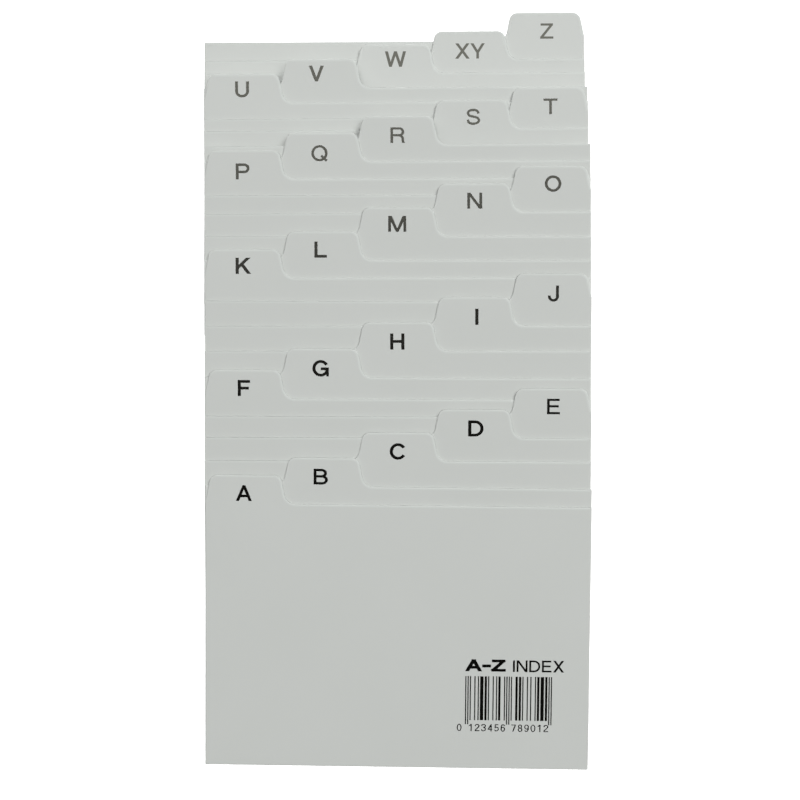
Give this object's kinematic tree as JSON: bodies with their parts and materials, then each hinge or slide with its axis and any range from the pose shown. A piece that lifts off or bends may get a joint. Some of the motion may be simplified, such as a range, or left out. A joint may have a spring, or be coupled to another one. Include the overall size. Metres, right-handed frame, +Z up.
{
  "type": "alphabetical index guide card set",
  "caption": "Thin plastic index guide cards with lettered tabs, laid out as an overlapping spread; each card slides on the one beneath it.",
  "frame": {"origin": "middle of the spread's footprint, on the table", "axes": "+X to the right as the letters are read, +Y up the cards towards the last letter, +Z up from the table"},
  "size_m": [0.1118, 0.2182, 0.013],
  "materials": {
    "light_grey_plastic": "satin",
    "black_ink": "satin"
  },
  "bodies": {
    "guide_a": {"guide_a": "light_grey_plastic"},
    "guide_b": {"guide_b": "light_grey_plastic"},
    "guide_c": {"guide_c": "light_grey_plastic"},
    "guide_d": {"guide_d": "light_grey_plastic"},
    "guide_e": {"guide_e": "light_grey_plastic"},
    "guide_f": {"guide_f": "light_grey_plastic"},
    "guide_g": {"guide_g": "light_grey_plastic"},
    "guide_h": {"guide_h": "light_grey_plastic"},
    "guide_i": {"guide_i": "light_grey_plastic"},
    "guide_j": {"guide_j": "light_grey_plastic"},
    "guide_k": {"guide_k": "light_grey_plastic"},
    "guide_l": {"guide_l": "light_grey_plastic"},
    "guide_m": {"guide_m": "light_grey_plastic"},
    "guide_n": {"guide_n": "light_grey_plastic"},
    "guide_o": {"guide_o": "light_grey_plastic"},
    "guide_p": {"guide_p": "light_grey_plastic"},
    "guide_q": {"guide_q": "light_grey_plastic"},
    "guide_r": {"guide_r": "light_grey_plastic"},
    "guide_s": {"guide_s": "light_grey_plastic"},
    "guide_t": {"guide_t": "light_grey_plastic"},
    "guide_u": {"guide_u": "light_grey_plastic"},
    "guide_v": {"guide_v": "light_grey_plastic"},
    "guide_w": {"guide_w": "light_grey_plastic"},
    "guide_xy": {"guide_xy": "light_grey_plastic"},
    "guide_z": {"guide_z": "light_grey_plastic"}
  },
  "joints": [
    {"name": "slide_xy", "type": "slide", "parent": "guide_z", "child": "guide_xy", "axis": [-0.0035, 1, 0], "range_m": [0, 0.0054]},
    {"name": "slide_w", "type": "slide", "parent": "guide_xy", "child": "guide_w", "axis": [-0.0017, 1, 0], "range_m": [0, 0.0039]},
    {"name": "slide_v", "type": "slide", "parent": "guide_w", "child": "guide_v", "axis": [-0.0035, 0.9968, 0.0802], "range_m": [0, 0.0049]},
    {"name": "slide_u", "type": "slide", "parent": "guide_v", "child": "guide_u", "axis": [-0.0035, 0.9968, 0.0802], "range_m": [0, 0.0042]},
    {"name": "slide_t", "type": "slide", "parent": "guide_u", "child": "guide_t", "axis": [-0.007, 0.9968, 0.0802], "range_m": [0, 0.0045]},
    {"name": "slide_s", "type": "slide", "parent": "guide_t", "child": "guide_s", "axis": [-0.007, 0.9968, 0.0802], "range_m": [0, 0.0034]},
    {"name": "slide_r", "type": "slide", "parent": "guide_s", "child": "guide_r", "axis": [-0.0052, 0.9926, 0.121], "range_m": [0, 0.0045]},
    {"name": "slide_q", "type": "slide", "parent": "guide_r", "child": "guide_q", "axis": [-0.0035, 0.9926, 0.121], "range_m": [0, 0.0046]},
    {"name": "slide_p", "type": "slide", "parent": "guide_q", "child": "guide_p", "axis": [-0.0017, 0.9927, 0.121], "range_m": [0, 0.0049]},
    {"name": "slide_o", "type": "slide", "parent": "guide_p", "child": "guide_o", "axis": [0, 0.9927, 0.121], "range_m": [0, 0.0047]},
    {"name": "slide_n", "type": "slide", "parent": "guide_o", "child": "guide_n", "axis": [-0.0052, 0.9926, 0.121], "range_m": [0, 0.005]},
    {"name": "slide_m", "type": "slide", "parent": "guide_n", "child": "guide_m", "axis": [0.0017, 0.9927, 0.121], "range_m": [0, 0.0066]},
    {"name": "slide_l", "type": "slide", "parent": "guide_m", "child": "guide_l", "axis": [0.0017, 0.9927, 0.121], "range_m": [0, 0.0068]},
    {"name": "slide_k", "type": "slide", "parent": "guide_l", "child": "guide_k", "axis": [0, 0.9927, 0.121], "range_m": [0, 0.005]},
    {"name": "slide_j", "type": "slide", "parent": "guide_k", "child": "guide_j", "axis": [0.0052, 0.9926, 0.121], "range_m": [0, 0.0067]},
    {"name": "slide_i", "type": "slide", "parent": "guide_j", "child": "guide_i", "axis": [0, 0.9927, 0.121], "range_m": [0, 0.0069]},
    {"name": "slide_h", "type": "slide", "parent": "guide_i", "child": "guide_h", "axis": [0, 0.9927, 0.121], "range_m": [0, 0.0071]},
    {"name": "slide_g", "type": "slide", "parent": "guide_h", "child": "guide_g", "axis": [0.0052, 0.9926, 0.121], "range_m": [0, 0.0076]},
    {"name": "slide_f", "type": "slide", "parent": "guide_g", "child": "guide_f", "axis": [0.0052, 0.9926, 0.121], "range_m": [0, 0.0061]},
    {"name": "slide_e", "type": "slide", "parent": "guide_f", "child": "guide_e", "axis": [0.0035, 0.9926, 0.121], "range_m": [0, 0.0049]},
    {"name": "slide_d", "type": "slide", "parent": "guide_e", "child": "guide_d", "axis": [0.0035, 0.9926, 0.121], "range_m": [0, 0.006]},
    {"name": "slide_c", "type": "slide", "parent": "guide_d", "child": "guide_c", "axis": [0.0035, 0.9926, 0.121], "range_m": [0, 0.0066]},
    {"name": "slide_b", "type": "slide", "parent": "guide_c", "child": "guide_b", "axis": [0.0105, 0.9926, 0.121], "range_m": [0, 0.0074]},
    {"name": "slide_a", "type": "slide", "parent": "guide_b", "child": "guide_a", "axis": [0.0105, 0.9926, 0.121], "range_m": [0, 0.0051]}
  ]
}
